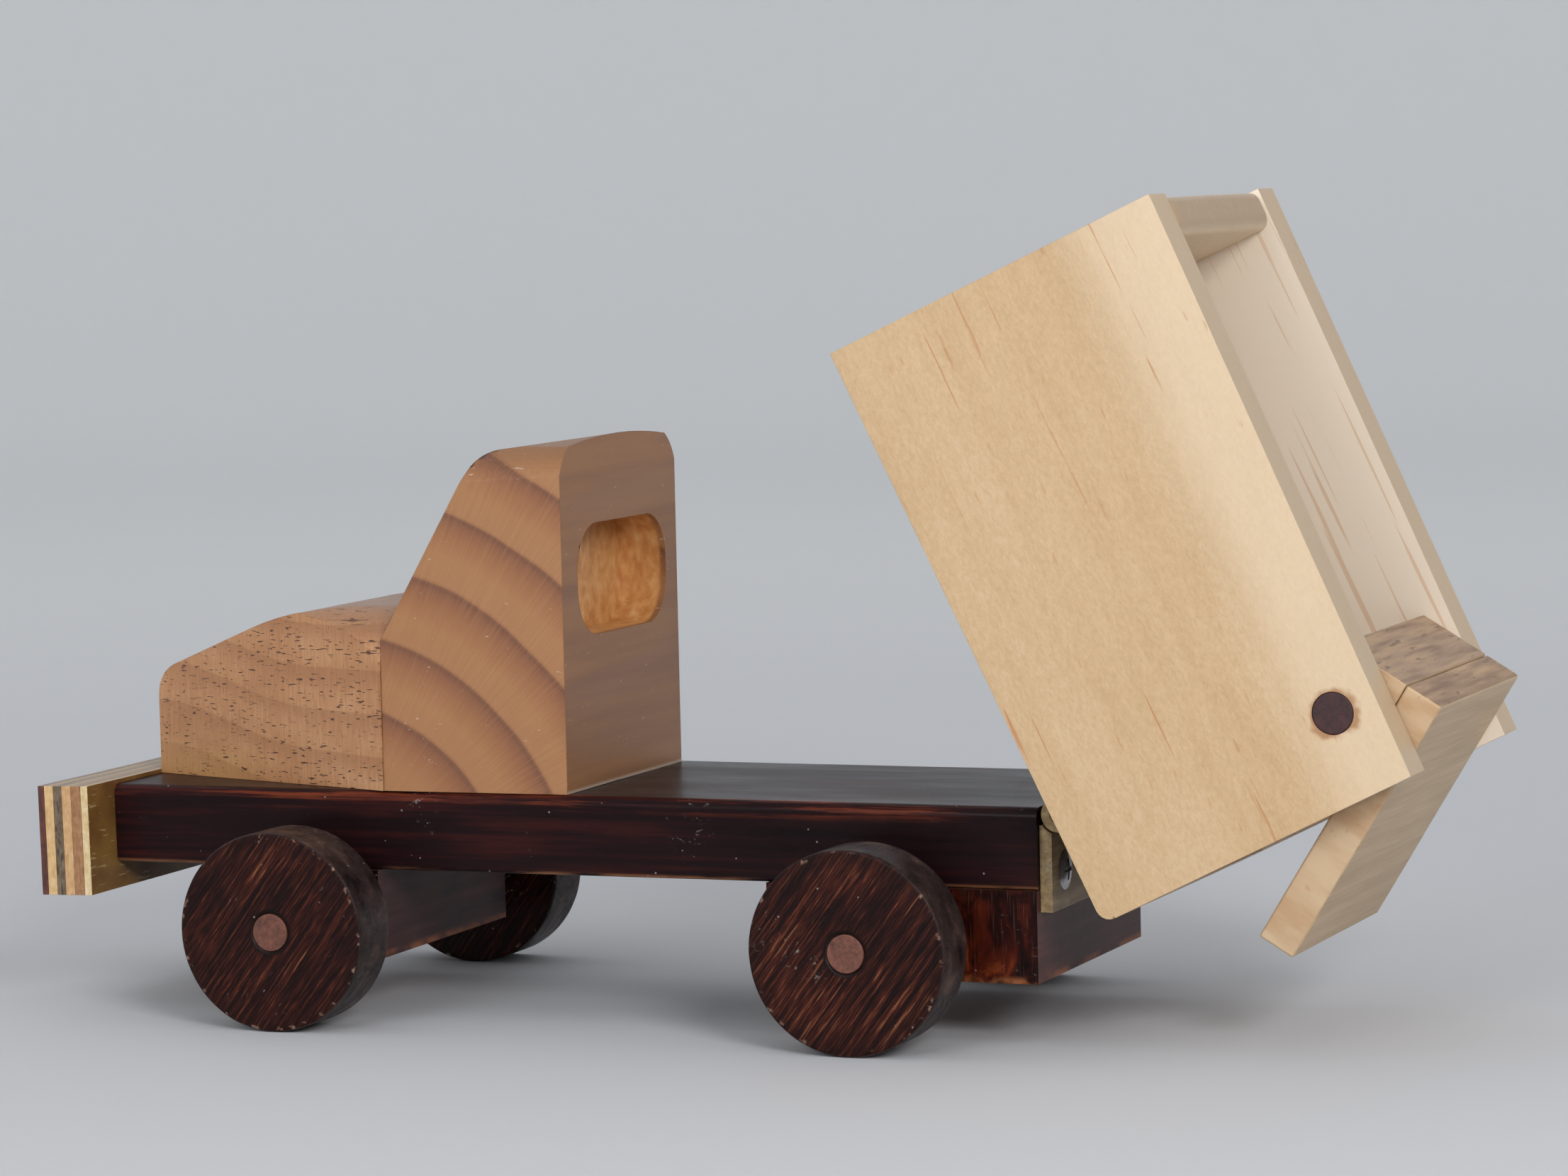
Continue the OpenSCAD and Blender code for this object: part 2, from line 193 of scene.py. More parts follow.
def block(node, place, material, edge=0.5, pitch=4.0, depth=0.1, wear=0.15, first=None):
    """A wooden piece: the CAD solid with rounded, hand-sanded edges. Sizes in millimetres."""
    shape = solid_from(node, place)
    if first:
        first(shape)
    round_edges(shape, sharp_edges(shape), edge * MM)
    cut_in_cells(shape, pitch * MM)
    sand_by_hand(shape, place, depth * MM, wear * MM)
    return piece_from(node, shape, place, material)


# ---------------------------------------------------------------- node trees

def tint(code):
    """A colour written as it looks on a screen, such as d8b080, in linear light."""
    parts = [int(code[i:i + 2], 16) / 255 for i in (0, 2, 4)]
    linear = [c / 12.92 if c < 0.04045 else ((c + 0.055) / 1.055) ** 2.4 for c in parts]
    return (*linear, 1.0)


class Paint:
    """A material, with a short call for each node that the woods use. Lengths are in metres."""

    def __init__(self, name, place=UPRIGHT):
        self.material = bpy.data.materials.new(name)
        self.material.use_nodes = True
        self.tree = self.material.node_tree
        self.shader = self.tree.nodes["Principled BSDF"]
        self.base = None
        here = self.node("ShaderNodeTexCoord")
        mapping = self.node("ShaderNodeMapping", {"Vector": here.outputs["Object"]})
        mapping.vector_type = "TEXTURE"
        mapping.inputs["Location"].default_value = place.to_translation()
        mapping.inputs["Rotation"].default_value = place.to_euler()
        self.place = mapping.outputs["Vector"]
        self.own = here.outputs["Object"]
        turn = self.node("ShaderNodeMapping", {"Vector": here.outputs["Normal"]})
        turn.vector_type = "TEXTURE"
        turn.inputs["Rotation"].default_value = place.to_euler()
        self.facing = turn.outputs["Vector"]

    def node(self, kind, inputs=None, **settings):
        node = self.tree.nodes.new(kind)
        for name, value in settings.items():
            setattr(node, name, value)
        for name, value in (inputs or {}).items():
            self.put(node.inputs[name], value)
        return node

    def put(self, socket, value):
        if isinstance(value, bpy.types.NodeSocket):
            self.tree.links.new(value, socket)
        else:
            socket.default_value = value

    def math(self, operation, a, b=0.0):
        node = self.node("ShaderNodeMath", operation=operation)
        self.put(node.inputs[0], a)
        self.put(node.inputs[1], b)
        return node.outputs[0]

    def add(self, a, b):
        return self.math("ADD", a, b)

    def times(self, a, b):
        return self.math("MULTIPLY", a, b)

    def spread(self, value, low, high, to_low=0.0, to_high=1.0):
        """value from low..high to to_low..to_high, smoothly and held at both ends."""
        node = self.node("ShaderNodeMapRange", {
            "Value": value, "From Min": low, "From Max": high,
            "To Min": to_low, "To Max": to_high}, interpolation_type="SMOOTHSTEP")
        return node.outputs["Result"]

    def part(self, vector, axis):
        return self.node("ShaderNodeSeparateXYZ", {"Vector": vector}).outputs["XYZ".index(axis)]

    def stretched(self, x, y, z, vector=None, moved=(0, 0, 0)):
        """Coordinates multiplied by (x, y, z): few per metre along the grain, many across it."""
        node = self.node("ShaderNodeMapping", {
            "Vector": vector or self.place, "Scale": (x, y, z), "Location": moved})
        return node.outputs["Vector"]

    def noise(self, vector, detail=2.0, rough=0.5, warp=0.0):
        node = self.node("ShaderNodeTexNoise", {
            "Vector": vector, "Scale": 1.0, "Detail": detail, "Roughness": rough,
            "Distortion": warp})
        return node.outputs["Fac"]

    def specks(self, vector, size, share=1.0):
        """1 inside small round specks on a unit grid, 0 between them."""
        cells = self.node("ShaderNodeTexVoronoi", {"Vector": vector, "Scale": 1.0})
        inside = self.spread(cells.outputs["Distance"], size, size * 0.6)
        if share < 1.0:
            pick = self.part(cells.outputs["Color"], "X")
            inside = self.times(inside, self.math("LESS_THAN", pick, share))
        return inside

    def mix(self, factor, a, b):
        node = self.node("ShaderNodeMix", data_type="RGBA")
        self.put(node.inputs[0], factor)
        self.put(node.inputs[6], a)
        self.put(node.inputs[7], b)
        return node.outputs[2]

    def blend(self, value, *stops):
        """Colours along a 0 to 1 value; each stop is (position, colour code)."""
        node = self.node("ShaderNodeValToRGB", {"Fac": value})
        ramp = node.color_ramp
        while len(ramp.elements) < len(stops):
            ramp.elements.new(0.5)
        for element, (position, code) in zip(ramp.elements, stops):
            element.position = position
            element.color = tint(code)
        return node.outputs["Color"]

    def bump(self, height, distance):
        before = self.base
        node = self.node("ShaderNodeBump", {
            "Height": height, "Distance": distance, "Strength": 1.0})
        if before is not None:
            self.put(node.inputs["Normal"], before)
        self.base = node.outputs["Normal"]

    def finish(self, colour, rough, coat=0.0, coat_rough=0.2, specular=0.5):
        self.put(self.shader.inputs["Base Color"], colour)
        self.put(self.shader.inputs["Roughness"], rough)
        self.shader.inputs["Coat Weight"].default_value = coat
        self.shader.inputs["Coat Roughness"].default_value = coat_rough
        self.shader.inputs["Specular IOR Level"].default_value = specular
        if self.base is not None:
            self.put(self.shader.inputs["Normal"], self.base)
        return self.material


# ---------------------------------------------------------------- the woods

def near_edges(p, node, place, along, width, rough=0.0):
    """1 on the node's outer edges that run along an axis, 0 at `width` from them, in metres."""
    low, high = local_box(node, place)
    from_edge = None
    for axis in "XYZ".replace(along, ""):
        i = "XYZ".index(axis)
        middle, half = (low[i] + high[i]) / 2, (high[i] - low[i]) / 2
        inside = p.math("ABSOLUTE", p.add(p.part(p.place, axis), -middle))
        depth = p.math("SUBTRACT", half, inside)
        from_edge = depth if from_edge is None else p.math("MAXIMUM", from_edge, depth)
    if rough:
        from_edge = p.add(from_edge, p.times(p.add(p.noise(p.stretched(60, 60, 60)), -0.5), rough))
    return p.spread(from_edge, width, 0.0)


def scratches(p, x, y, z, least=0.66, detail=1.0, moved=(0, 0, 0)):
    """1 inside sparse marks whose size is 1/x by 1/y by 1/z metres, 0 between them."""
    return p.spread(p.noise(p.stretched(x, y, z, moved=moved), detail=detail), least, least + 0.06)


def pale_marks(p, colour, code, amount=0.6):
    """A few whitish rubs and specks of glue on a dark wood."""
    where = p.spread(p.noise(p.stretched(45, 45, 45, moved=(3.1, 0, 0))), 0.56, 0.66)
    rubs = p.spread(p.noise(p.stretched(500, 900, 900), detail=5, rough=0.7), 0.6, 0.7)
    dots = p.specks(p.stretched(420, 420, 420), 0.13, 0.1)
    marks = p.math("MAXIMUM", p.times(where, rubs), dots)
    return p.mix(p.times(marks, amount), colour, tint(code))


def chassis_wood():
    p = Paint("chassis_wood")
    streaks = p.noise(p.stretched(14, 380, 380), detail=6, rough=0.6)
    patches = p.noise(p.stretched(18, 60, 60, moved=(0.4, 0, 0)), detail=3)
    value = p.add(p.times(streaks, 0.6), p.times(patches, 0.4))
    colour = p.blend(value, (0.38, "120a0c"), (0.52, "1d0e10"), (0.66, "3a1614"))
    upper = p.spread(p.part(p.place, "Z"), 46 * MM, 53 * MM)
    edge = near_edges(p, "chassis", UPRIGHT, "X", 5 * MM, rough=4 * MM)
    worn = p.spread(p.noise(p.stretched(16, 300, 420), detail=5, rough=0.65), 0.44, 0.62)
    glow = p.times(p.times(edge, upper), worn)
    colour = p.mix(p.times(glow, 0.85), colour, p.blend(worn, (0.3, "421612"), (0.95, "7c3820")))
    rim = near_edges(p, "chassis", UPRIGHT, "X", 1.3 * MM)
    lower = p.spread(p.part(p.place, "Z"), 42 * MM, 38 * MM)
    bare = p.spread(p.noise(p.stretched(50, 300, 300, moved=(0, 1.7, 0)), detail=4), 0.42, 0.6)
    colour = p.mix(p.times(p.times(rim, lower), bare), colour, tint("9c6a4a"))
    front = p.spread(p.part(p.place, "X"), 110 * MM, 160 * MM)
    colour = p.mix(p.times(p.times(rim, front), p.times(bare, 0.4)), colour, tint("6a3624"))
    colour = pale_marks(p, colour, "a09a94", 0.55)
    p.bump(streaks, 0.04 * MM)
    p.bump(p.noise(p.stretched(600, 600, 600), detail=3), 0.01 * MM)
    rough = p.spread(patches, 0.3, 0.7, 0.26, 0.36)
    return p.finish(colour, rough, specular=0.1)


def strip_wood(number, light, dark, ticks, tick_share):
    """One strip of the bumper. Its grain runs across the truck."""
    p = Paint(f"strip_wood_{number}")
    shift = (number * 0.37, number * 0.21, 0)
    grain = p.noise(p.stretched(700, 18, 500, moved=shift), detail=5)
    fine = p.noise(p.stretched(1800, 60, 900, moved=shift), detail=3)
    colour = p.blend(p.add(p.times(grain, 0.7), p.times(fine, 0.3)), (0.36, dark), (0.62, light))
    short = p.spread(p.noise(p.stretched(1500, 1500, 260, moved=shift), detail=2), 0.54, 0.64)
    colour = p.mix(p.times(short, tick_share), colour, tint(ticks))
    # Painted sheen: the strips' upward faces are greyed toward a pale grey-tan, standing in for light reflected
    # off their tops.
    top = p.spread(p.part(p.facing, "Z"), 0.6, 0.9)
    sheen_grey = p.blend(grain, (0.35, "83705a"), (0.65, "a89374"))
    colour = p.mix(p.times(top, 0.66), colour, sheen_grey)
    p.bump(grain, 0.03 * MM)
    if number == 6:
        rear = p.spread(p.part(p.facing, "X"), -0.6, -0.95)
        clouds = p.noise(p.stretched(60, 60, 90), detail=4)
        amber = p.blend(clouds, (0.35, "684520"), (0.65, "8c6833"))
        amber = p.mix(p.specks(p.stretched(230, 230, 230), 0.2, 0.1), amber, tint("4a3418"))
        marks = scratches(p, 100, 140, 1400, 0.64)
        amber = p.mix(p.times(marks, 0.5), amber, tint("c8b080"))
        colour = p.mix(rear, colour, amber)
    return p.finish(colour, 0.42, coat=0.35, coat_rough=0.3)


def bonnet_wood():
    """Pale orange wood with open pores. Its rings sag towards the cab."""
    p = Paint("bonnet_wood")
    x = p.part(p.place, "X")
    sag = p.times(p.math("POWER", p.spread(x, 105 * MM, 165 * MM), 1.5), 8 * MM)
    across = p.times(p.part(p.place, "Y"), 0.12)
    wander = p.times(p.noise(p.stretched(14, 20, 24), detail=1), 4 * MM)
    level = p.add(p.math("SUBTRACT", p.part(p.place, "Z"), sag), p.add(across, wander))
    turn = p.math("FRACT", p.times(p.add(level, 3.2 * MM), 1 / (10.8 * MM)))
    band = p.times(p.spread(turn, 0.35, 0.93), p.spread(turn, 1.0, 0.95))
    cloud = p.noise(p.stretched(30, 90, 90, moved=(1, 2, 3)), detail=3)
    hair = p.noise(p.stretched(1900, 700, 130), detail=3, rough=0.6)
    base = p.blend(p.add(p.times(cloud, 0.5), p.times(hair, 0.5)),
                   (0.36, "ab774e"), (0.5, "b9855a"), (0.64, "c7966c"))
    colour = p.mix(p.times(band, 0.42), base, tint("96603c"))
    low = p.times(p.spread(p.part(p.place, "Z"), 72 * MM, 60 * MM),
                  p.spread(x, 120 * MM, 150 * MM))
    colour = p.mix(p.times(low, 0.35), colour, tint("b98d4e"))
    pores = scratches(p, 300, 900, 2100, 0.645)
    pore_place = p.spread(p.noise(p.stretched(80, 80, 110), detail=1), 0.34, 0.5)
    colour = p.mix(p.times(p.times(pores, pore_place), 0.95), colour, tint("4a2616"))
    drops = scratches(p, 1500, 1500, 420, 0.68, moved=(2, 1, 0))
    colour = p.mix(p.times(drops, 0.4), colour, tint("7c4a2c"))
    # Painted shade: faces that point up are darkened, to hold back the light that falls on them from above.
    painted_top_shade = p.spread(p.part(p.facing, "Z"), 0.4, 0.9)
    colour = p.mix(p.times(painted_top_shade, 0.4), colour, tint("6a452c"))
    p.bump(p.times(pores, -1.0), 0.12 * MM)
    p.bump(hair, 0.02 * MM)
    return p.finish(colour, 0.4, coat=0.25, coat_rough=0.28)


def cab_wood():
    """Pale orange wood with wide dark rings about a heart in front of the cab and below it."""
    p = Paint("cab_wood")
    x = p.add(p.part(p.place, "X"), -111.6 * MM)
    z = p.add(p.part(p.place, "Z"), -25.5 * MM)
    radius = p.math("SQRT", p.add(p.times(x, x), p.times(z, z)))
    angle = p.times(p.math("ARCTAN2", z, x), 75 * MM)
    wander = p.times(p.noise(p.stretched(20, 14, 20), detail=2), 4 * MM)
    tilt = p.times(p.part(p.place, "Y"), 0.06)
    ring = p.times(p.add(p.add(radius, wander), p.add(tilt, -60.0 * MM)), 1 / (17.9 * MM))
    turn = p.math("FRACT", ring)
    late = p.spread(turn, 0.42, 0.97)
    colour = p.blend(
        turn, (0.0, "94623c"), (0.05, "a4734a"), (0.4, "a57348"), (0.7, "97633d"),
        (0.88, "865436"), (0.96, "73472f"), (1.0, "805238"))
    polar = p.node("ShaderNodeCombineXYZ", {
        "X": radius, "Y": p.part(p.place, "Y"), "Z": angle}).outputs[0]
    rays = p.noise(p.stretched(70, 1400, 3600, vector=polar), detail=3)
    colour = p.mix(p.spread(rays, 0.42, 0.7, 0.0, 0.16), colour, tint("c08e62"))
    colour = p.mix(p.spread(rays, 0.5, 0.3, 0.0, 0.12), colour, tint("84542f"))
    streaks = p.noise(p.stretched(260, 12, 260, moved=(5, 1, 2)), detail=4)
    side = p.math("ABSOLUTE", p.part(p.facing, "Y"))
    plain = p.spread(side, 0.85, 0.5)
    dull = p.blend(streaks, (0.36, "85562f"), (0.62, "956538"))
    rear = p.times(plain, p.spread(p.part(p.facing, "X"), -0.3, -0.8))
    inside = p.spread(p.part(p.place, "X"), 41.8 * MM, 43.2 * MM)
    outside = p.math("SUBTRACT", 1.0, inside)
    colour = p.mix(p.times(p.times(rear, outside), 0.84), colour, dull)
    # Painted shade: faces that point up are darkened, to hold back the light that falls on them from above.
    painted_top_shade = p.spread(p.part(p.facing, "Z"), 0.25, 0.85)
    colour = p.mix(p.times(painted_top_shade, 0.42), colour, tint("5e3a22"))
    behind_glass = p.times(p.times(inside, p.spread(p.part(p.place, "X"), 58 * MM, 55 * MM)),
                           p.spread(p.math("ABSOLUTE", p.part(p.place, "Y")), 30 * MM, 28 * MM))
    from_middle = p.math("ABSOLUTE", p.add(p.part(p.place, "Z"), -109.7 * MM))
    behind_glass = p.times(behind_glass, p.spread(from_middle, 15.8 * MM, 14.8 * MM))
    gouges = p.noise(p.stretched(420, 300, 260), detail=3)
    raw = p.blend(gouges, (0.35, "cc8a4c"), (0.6, "e4ac6c"), (0.75, "eec48c"))
    colour = p.mix(p.times(behind_glass, 0.8), colour, raw)
    chalk = scratches(p, 300, 500, 900, 0.69, detail=4, moved=(4, 0, 1))
    colour = p.mix(p.times(chalk, 0.45), colour, tint("d8c8b4"))
    foot = p.times(p.spread(p.part(p.place, "Z"), 58.6 * MM, 57.8 * MM), rear)
    colour = p.mix(p.times(foot, 0.6), colour, tint("c4b8a8"))
    p.bump(late, 0.04 * MM)
    p.bump(rays, 0.02 * MM)
    p.bump(p.times(gouges, behind_glass), 0.25 * MM)
    rough = p.spread(late, 0.0, 1.0, 0.42, 0.36)
    return p.finish(colour, rough, coat=0.2, coat_rough=0.3)


def axle_block_wood():
    """Dark stained wood: satin on the long faces, mottled end grain towards the wheels."""
    p = Paint("axle_block_wood")
    grain = p.noise(p.stretched(500, 14, 300), detail=5)
    cloud = p.noise(p.stretched(40, 30, 60, moved=(1, 0, 4)), detail=3)
    satin = p.blend(p.add(p.times(grain, 0.5), p.times(cloud, 0.5)),
                    (0.36, "301c1c"), (0.5, "462c2a"), (0.66, "603a34"))
    mottled = p.noise(p.stretched(110, 110, 70), detail=4, rough=0.6, warp=0.6)
    end = p.blend(mottled, (0.36, "0a0505"), (0.5, "260b08"), (0.6, "48180c"), (0.72, "7c3816"))
    slant = Matrix.Rotation(math.radians(35), 4, "Y")
    saw = p.node("ShaderNodeMapping", {
        "Vector": p.place, "Rotation": slant.to_euler(), "Scale": (2600, 900, 90)}).outputs[0]
    saw_marks = p.spread(p.noise(saw, detail=3), 0.58, 0.72)
    end = p.mix(p.times(saw_marks, 0.14), end, tint("a8886c"))
    side = p.spread(p.math("ABSOLUTE", p.part(p.facing, "Y")), 0.6, 0.9)
    colour = p.mix(side, satin, end)
    low = local_box("rear_axle_block", UPRIGHT)[0]
    worn_line = p.spread(p.part(p.place, "Z"), low.z + 2.2 * MM, low.z + 0.3 * MM)
    bare = p.spread(p.noise(p.stretched(200, 90, 200), detail=4), 0.4, 0.6)
    colour = p.mix(p.times(p.times(worn_line, bare), 0.75), colour, tint("a0603a"))
    colour = pale_marks(p, colour, "98908a", 0.4)
    p.bump(mottled, 0.05 * MM)
    p.bump(grain, 0.03 * MM)
    return p.finish(colour, 0.36, specular=0.1)


def wheel_wood():
    """Open, streaky dark wood on the faces, and a mottled dark tread."""
    lean = Matrix.Rotation(math.radians(53), 4, "Y")
    p = Paint("wheel_wood", lean)
    streaks = p.noise(p.stretched(36, 300, 1500), detail=4, rough=0.68, warp=0.1)
    flecks = p.noise(p.stretched(260, 900, 3400, moved=(2, 0, 5)), detail=2)
    cloud = p.noise(p.stretched(45, 45, 60, moved=(7, 2, 1)), detail=3)
    value = p.add(p.add(p.times(streaks, 0.62), p.times(flecks, 0.3)), p.times(cloud, 0.18))
    face = p.blend(value, (0.46, "120707"), (0.53, "240d0a"), (0.59, "3a170f"),
                   (0.65, "5a2c1c"), (0.74, "8c6040"))
    x = p.add(p.math("ABSOLUTE", p.add(p.part(p.own, "X"), -WHEELS_MIDDLE)), -WHEELS_HALF)
    z = p.add(p.part(p.own, "Z"), -AXLE_HEIGHT)
    radius = p.math("SQRT", p.add(p.times(x, x), p.times(z, z)))
    shade = p.times(p.spread(radius, 18 * MM, 25 * MM), 0.45)
    face = p.mix(shade, face, tint("1a0c0a"))
    ring = p.times(p.spread(radius, 6.2 * MM, 5.4 * MM), p.spread(cloud, 0.3, 0.5, 0.5, 1.0))
    face = p.mix(ring, face, tint("140a08"))
    tread_noise = p.noise(p.stretched(120, 120, 120), detail=5, rough=0.65)
    tread = p.blend(tread_noise, (0.35, "1a1212"), (0.55, "382c2a"), (0.72, "5c463e"))
    on_tread = p.spread(p.math("ABSOLUTE", p.part(p.facing, "Y")), 0.85, 0.6)
    colour = p.mix(on_tread, face, tread)
    rim = p.times(p.spread(radius, 23.3 * MM, 24.4 * MM), p.math("SUBTRACT", 1.0, on_tread))
    chips = p.spread(p.noise(p.stretched(420, 420, 420, moved=(1, 1, 1)), detail=4), 0.58, 0.68)
    colour = p.mix(p.times(p.times(rim, chips), 0.7), colour, tint("a08070"))
    colour = pale_marks(p, colour, "a8a098", 0.55)
    p.bump(p.times(streaks, p.math("SUBTRACT", 1.0, on_tread)), 0.12 * MM)
    p.bump(p.times(tread_noise, on_tread), 0.12 * MM)
    rough = p.spread(value, 0.4, 0.7, 0.3, 0.5)
    return p.finish(colour, rough, specular=0.14)


def dowel_wood(name, place, light, dark):
    """End grain of a dowel, with fine pores; its length is straight-grained."""
    p = Paint(name, place)
    ends = p.noise(p.stretched(900, 900, 900), detail=4, rough=0.65)
    cloud = p.noise(p.stretched(240, 60, 240), detail=2)
    value = p.add(p.times(ends, 0.6), p.times(cloud, 0.4))
    colour = p.blend(value, (0.36, dark), (0.62, light))
    pores = p.specks(p.stretched(1500, 300, 1500), 0.3, 0.3)
    colour = p.mix(p.times(pores, 0.5), colour, tint(dark))
    p.bump(ends, 0.05 * MM)
    return p.finish(colour, 0.55, coat=0.1)


def hinge_wood(name, place):
    p = Paint(name, place)
    grain = p.noise(p.stretched(420, 30, 420), detail=5)
    fine = p.noise(p.stretched(1600, 200, 1600), detail=3)
    colour = p.blend(p.add(p.times(grain, 0.7), p.times(fine, 0.3)),
                     (0.36, "6a5636"), (0.5, "88704a"), (0.64, "a48c62"))
    dust = p.spread(p.noise(p.stretched(120, 120, 120), detail=5, rough=0.7), 0.58, 0.74)
    colour = p.mix(p.times(dust, 0.3), colour, tint("b0a48c"))
    p.bump(grain, 0.04 * MM)
    return p.finish(colour, 0.5, coat=0.15, coat_rough=0.3)


def bed_wood():
    """Pale honey wood: almost plain, with a fine stipple and a few thin orange lines."""
    p = Paint("bed_wood", BED)
    cloud = p.noise(p.stretched(9, 30, 42), detail=3)
    stipple = p.noise(p.stretched(620, 900, 1300), detail=3, rough=0.7)
    grain = p.noise(p.stretched(30, 240, 240, moved=(3, 0, 0)), detail=4)
    value = p.add(p.add(p.times(cloud, 0.34), p.times(stipple, 0.46)), p.times(grain, 0.2))
    colour = p.blend(value, (0.36, "bd9b70"), (0.5, "c9a87e"), (0.64, "d3b48d"))
    # Painted sheen: the upper part of the boards is whitened, standing in for the whitish reflection of light
    # along their top edges.
    high = p.spread(p.part(p.place, "Z"), 60 * MM, 80 * MM)
    colour = p.mix(p.times(high, 0.5), colour, tint("e8d4b6"))
    lines = p.spread(p.noise(p.stretched(26, 500, 820, moved=(0, 4, 0)), detail=2), 0.63, 0.69)
    rows = p.spread(p.noise(p.stretched(14, 60, 40, moved=(0, 0, 9)), detail=1), 0.56, 0.64)
    colour = p.mix(p.times(p.times(lines, rows), 0.65), colour, tint("b5713c"))
    flecks = scratches(p, 120, 600, 700, 0.73, moved=(6, 0, 2))
    colour = p.mix(p.times(flecks, 0.4), colour, tint("b88050"))
    # Painted light: the inner face of the right-hand side is brightened toward white to stand in for the light
    # falling on it; the orange threads below are its real grain.
    lit_inner_face = p.times(p.spread(p.part(p.facing, "Y"), 0.6, 0.9),
                    p.spread(p.part(p.place, "Y"), -30 * MM, -36 * MM))
    colour = p.mix(p.times(lit_inner_face, 0.85), colour, tint("fbeedb"))
    threads = p.spread(p.noise(p.stretched(16, 90, 800, moved=(6, 2, 1)), detail=2), 0.63, 0.69)
    colour = p.mix(p.times(p.times(threads, lit_inner_face), 0.4), colour, tint("cf9258"))
    top = p.spread(p.part(p.facing, "Z"), 0.3, 1.0)
    inside_x = p.spread(p.part(p.place, "X"), 108 * MM, 112 * MM)
    inside_y = p.spread(p.math("ABSOLUTE", p.part(p.place, "Y")), 38.2 * MM, 37.6 * MM)
    board = p.times(p.times(inside_x, inside_y), 0.4)
    colour = p.mix(p.times(top, p.add(board, 0.45)), colour, tint("a58868"))
    rod = p.node("ShaderNodeVectorMath", {
        0: p.place, 1: ROD_CENTRE}, operation="SUBTRACT").outputs[0]
    away = p.math("SQRT", p.add(p.math("POWER", p.part(rod, "X"), 2.0),
                                p.math("POWER", p.part(rod, "Z"), 2.0)))
    away = p.add(away, p.times(p.add(p.noise(p.stretched(200, 200, 200), detail=2), -0.5), 6 * MM))
    halo = p.spread(away, 6.8 * MM, 5.0 * MM)
    colour = p.mix(p.times(halo, 0.75), colour, tint("9a6028"))
    p.bump(stipple, 0.02 * MM)
    p.bump(grain, 0.02 * MM)
    rough = p.spread(stipple, 0.35, 0.65, 0.36, 0.5)
    return p.finish(colour, rough, coat=0.3, coat_rough=0.35)


def tailgate_wood(name, top_code):
    """Smooth grey-tan wood whose grain runs across the truck; torn fibres on the sawn top."""
    p = Paint(name, TAILGATE)
    grain = p.noise(p.stretched(170, 9, 210), detail=3)
    fine = p.noise(p.stretched(1200, 50, 1300), detail=3)
    value = p.add(p.times(grain, 0.6), p.times(fine, 0.4))
    colour = p.blend(value, (0.36, "b2946f"), (0.5, "bda07c"), (0.64, "c9ad89"))
    end = p.spread(p.math("ABSOLUTE", p.part(p.facing, "Y")), 0.6, 0.9)
    rings = p.noise(p.stretched(60, 200, 260, moved=(2, 2, 0)), detail=3)
    pale = p.blend(rings, (0.34, "bd9a74"), (0.5, "c6a784"), (0.66, "cdb28e"))
    colour = p.mix(end, colour, pale)
    pink = scratches(p, 500, 500, 300, 0.71, moved=(3, 1, 2))
    colour = p.mix(p.times(p.times(pink, end), 0.4), colour, tint("b97f5c"))
    up = p.spread(p.part(p.facing, "Z"), 0.6, 0.9)
    torn = p.noise(p.stretched(420, 32, 420, moved=(0, 3, 0)), detail=5, rough=0.6)
    rough_top = p.blend(torn, (0.3, "7c5c42"), (0.48, top_code), (0.7, "bd9a74"))
    colour = p.mix(up, colour, rough_top)
    dark = scratches(p, 700, 110, 700, 0.69)
    colour = p.mix(p.times(p.times(dark, up), 0.6), colour, tint("54382a"))
    p.bump(p.times(torn, up), 0.12 * MM)
    p.bump(grain, 0.02 * MM)
    return p.finish(colour, 0.5, coat=0.1)


# ---------------------------------------------------------------- the pieces

def middle(edge):
    return (edge.verts[0].co + edge.verts[1].co) / 2


def round_where(shape, test, radius):
    """Rounds the sharp edges whose middle passes the test."""
    round_edges(shape, [e for e in sharp_edges(shape) if test(middle(e))], radius * MM, 5)


def ease_bonnet(shape):
    round_where(shape, lambda m: m.z > 66 * MM and m.x > 92 * MM, 2.6)


def ease_cab(shape):
    """Rounds the upper edges, but not the upright ones of the rear face."""
    rear_face, upper_part, roof = 41 * MM, 100 * MM, 128 * MM
    round_where(shape, lambda m: m.z > upper_part and abs(m.x - rear_face) > 1 * MM
                or m.z > roof, 2.6)


def ease_chassis(shape):
    round_edges(shape, [e for e in sharp_edges(shape) if along_axis(e, 0)], 1.9 * MM, 5)


def ease_bed(shape):
    rear = min(v.co.x for v in shape.verts)
    low = min(v.co.z for v in shape.verts)
    round_where(shape, lambda m: m.x < rear + 1 * MM and m.z < low + 1 * MM, 3.5)
    round_where(shape, lambda m: m.z > low + 70 * MM, 3.2)


def ease_block(shape):
    round_edges(shape, [e for e in sharp_edges(shape) if along_axis(e, 2)], 1.6 * MM, 5)


block("chassis", UPRIGHT, chassis_wood(), edge=0.8, pitch=5, first=ease_chassis)
STRIPS = [("6a3426", "431b14", "2c100c", 0.5), ("dcb884", "c69c64", "e8d0a8", 0.3),
          ("7c6a52", "57442f", "33271b", 0.8), ("d2a878", "bb8d5c", "e4c69a", 0.4),
          ("b08258", "8c5f3a", "7a4e2e", 0.4), ("e2cda2", "ccab76", "f0e0c0", 0.4)]
for i, (light, dark, ticks, share) in enumerate(STRIPS):
    block(f"bumper_strip_{i + 1}", UPRIGHT, strip_wood(i + 1, light, dark, ticks, share),
          edge=0.15, pitch=4, wear=0.05)
block("bonnet", UPRIGHT, bonnet_wood(), edge=0.5, pitch=3, first=ease_bonnet)
block("cab", UPRIGHT, cab_wood(), edge=0.9, pitch=3, first=ease_cab)
dark_wood = axle_block_wood()
block("front_axle_block", UPRIGHT, dark_wood, edge=0.8, pitch=5, first=ease_block)
